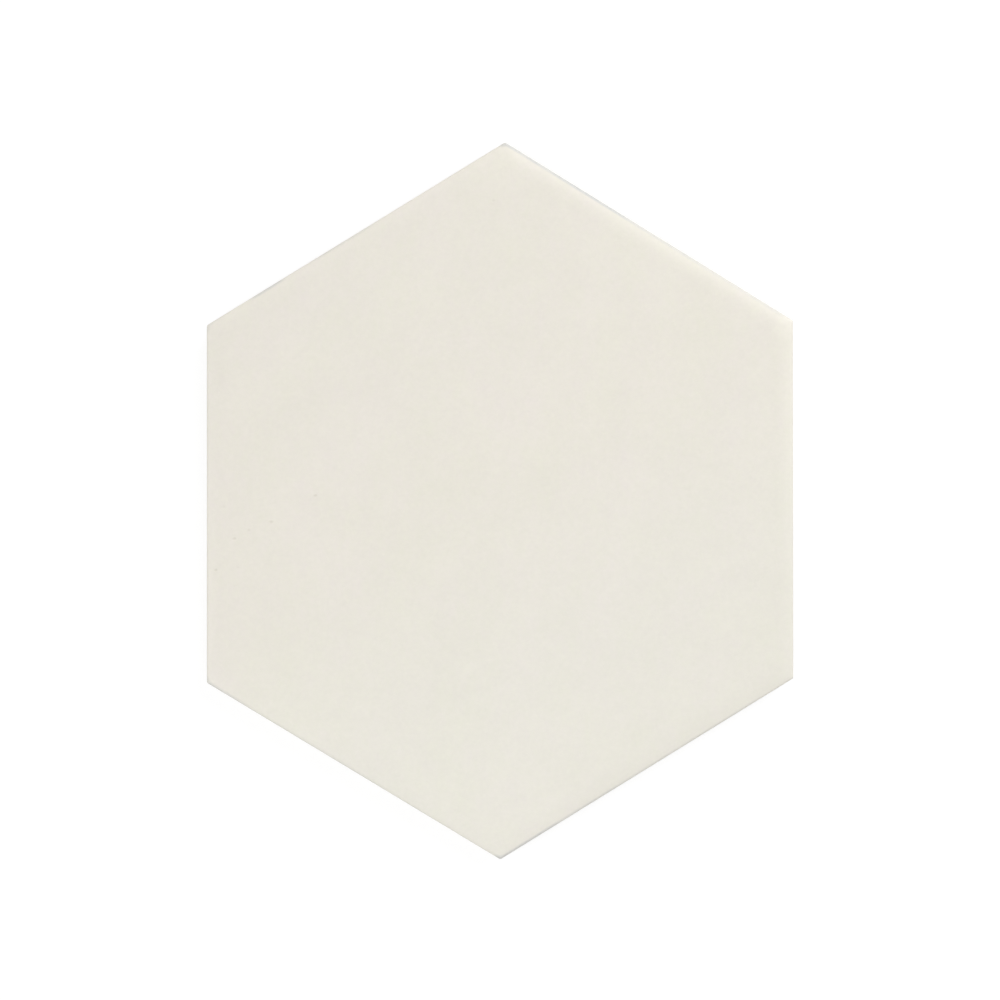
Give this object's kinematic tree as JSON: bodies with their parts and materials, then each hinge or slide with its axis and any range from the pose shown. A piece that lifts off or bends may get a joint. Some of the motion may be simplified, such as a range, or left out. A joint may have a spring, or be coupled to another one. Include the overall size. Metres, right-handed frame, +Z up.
{
  "type": "hexagon floor tile",
  "caption": "Hexagonal glazed ceramic floor tile with a flat satin face, softly rounded edges and a ribbed back that keys into its mortar.",
  "frame": {"origin": "middle of the back, in the plane that the tile beds on", "axes": "+Z up, out of the glazed face; +X across the two parallel upright sides; +Y towards a point"},
  "size_m": [0.175, 0.2138, 0.009],
  "materials": {
    "glaze": "satin"
  },
  "bodies": {
    "root": {"hexagon_tile": "glaze"}
  },
  "joints": []
}
